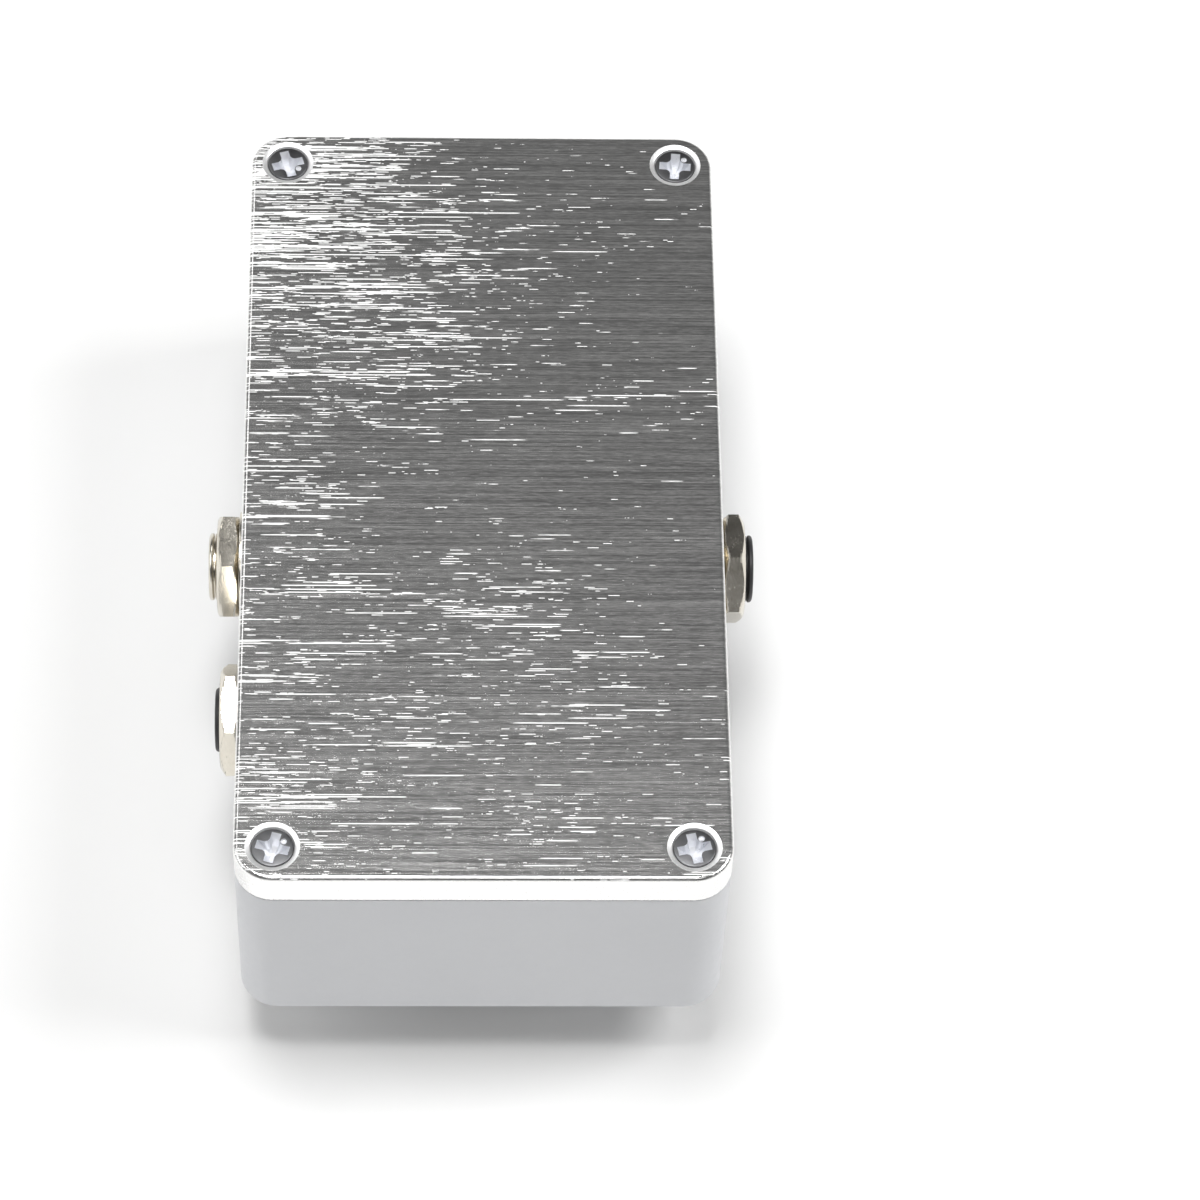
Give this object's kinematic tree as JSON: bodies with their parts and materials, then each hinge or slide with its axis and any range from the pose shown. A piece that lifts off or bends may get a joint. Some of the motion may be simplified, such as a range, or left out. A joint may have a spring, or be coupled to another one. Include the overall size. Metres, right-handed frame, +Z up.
{
  "type": "direct injection box",
  "caption": "Pedal-format direct injection box: die-cast case with screwed base plate, instrument and thru jacks, power socket, XLR output, rotary controls, toggle switches and a footswitch.",
  "frame": {"origin": "middle of the object's footprint, on the surface that it stands on, with the control face down and the base plate up", "axes": "+Z up, out of the base plate; +Y towards the end with the XLR output; +X towards the side with the thru jack"},
  "size_m": [0.0764, 0.1252, 0.049],
  "materials": {
    "white_powder_coat": "smooth semi-gloss powder coat",
    "brushed_aluminium": "straight brushed across its width",
    "nickel_plate": "bright nickel plate",
    "zinc_steel": "dark zinc plate",
    "spring_steel": "bright spring steel",
    "black_plastic": "moulded, fine grain",
    "phenolic": "laminated fibre",
    "contact_metal": "silver-plated brass",
    "knob_plastic": "satin moulded",
    "light_lens": "water-clear epoxy",
    "board_resin": "green solder mask",
    "capacitor_sleeve": "shrink sleeve",
    "laminated_steel": "stacked laminations",
    "winding_tape": "polyester tape",
    "wire_jacket": "smooth insulation"
  },
  "bodies": {
    "case": {"enclosure_body": "white_powder_coat", "base_plate": "brushed_aluminium", "circuit_board": "board_resin", "amplifier_chip": "black_plastic", "capacitor_left": "capacitor_sleeve", "capacitor_right": "capacitor_sleeve", "transformer_core": "laminated_steel", "transformer_coil": "winding_tape", "signal_wire": "wire_jacket", "power_wire": "wire_jacket", "footswitch_wire": "wire_jacket", "output_wire": "wire_jacket", "dc_jack_housing": "black_plastic", "dc_jack_nut": "nickel_plate", "dc_jack_centre_pin": "contact_metal", "dc_jack_sleeve_contact": "contact_metal", "xlr_shell": "nickel_plate", "xlr_insulator": "black_plastic", "xlr_pin_1": "contact_metal", "xlr_pin_2": "contact_metal", "xlr_pin_3": "contact_metal", "xlr_screw_upper": "zinc_steel", "xlr_screw_lower": "zinc_steel", "status_light_lens": "light_lens", "status_light_bezel": "nickel_plate", "footswitch_bushing": "nickel_plate", "footswitch_case": "black_plastic", "footswitch_terminals": "contact_metal", "footswitch_washer": "nickel_plate", "footswitch_nut": "nickel_plate", "footswitch_spring": "spring_steel", "lid_screw_near_left": "zinc_steel", "lid_screw_near_right": "zinc_steel", "lid_screw_far_left": "zinc_steel", "lid_screw_far_right": "zinc_steel", "input_jack_frame": "nickel_plate", "input_jack_washer": "nickel_plate", "input_jack_nut": "nickel_plate", "input_jack_tip_spring": "spring_steel", "input_jack_insulator": "phenolic", "thru_jack_frame": "black_plastic", "thru_jack_washer": "nickel_plate", "thru_jack_nut": "nickel_plate", "thru_jack_tip_spring": "spring_steel", "thru_jack_insulator": "phenolic", "gain_pot_body": "nickel_plate", "gain_pot_nut": "nickel_plate", "level_pot_body": "nickel_plate", "level_pot_nut": "nickel_plate", "ground_lift_switch_case": "black_plastic", "ground_lift_switch_nut": "nickel_plate", "pad_switch_case": "black_plastic", "pad_switch_nut": "nickel_plate"},
    "gain_knob": {"gain_knob": "knob_plastic", "gain_pot_shaft": "spring_steel"},
    "level_knob": {"level_knob": "knob_plastic", "level_pot_shaft": "spring_steel"},
    "footswitch_button": {"footswitch_button": "nickel_plate"},
    "ground_lift_lever": {"ground_lift_lever": "nickel_plate"},
    "pad_lever": {"pad_lever": "nickel_plate"}
  },
  "joints": [
    {"name": "gain_knob_turn", "type": "hinge", "parent": "case", "child": "gain_knob", "pos_m": [-0.016, 0.02442, 0.006], "axis": [0, 0, -1], "range_deg": [-150, 150]},
    {"name": "level_knob_turn", "type": "hinge", "parent": "case", "child": "level_knob", "pos_m": [0.016, 0.02442, 0.006], "axis": [0, 0, -1], "range_deg": [-150, 150]},
    {"name": "footswitch_press", "type": "slide", "parent": "case", "child": "footswitch_button", "axis": [0, 0, 1], "range_m": [0, 0.003], "stiffness_N_per_m": 3000, "springref_m": -0.004, "deforming": ["footswitch_spring"]},
    {"name": "ground_lift_throw", "type": "hinge", "parent": "case", "child": "ground_lift_lever", "pos_m": [-0.016, 0.00792, 0.0112], "axis": [0, -1, 0], "range_deg": [0, 26]},
    {"name": "pad_throw", "type": "hinge", "parent": "case", "child": "pad_lever", "pos_m": [0.016, 0.00792, 0.0112], "axis": [0, -1, 0], "range_deg": [0, 26]}
  ]
}
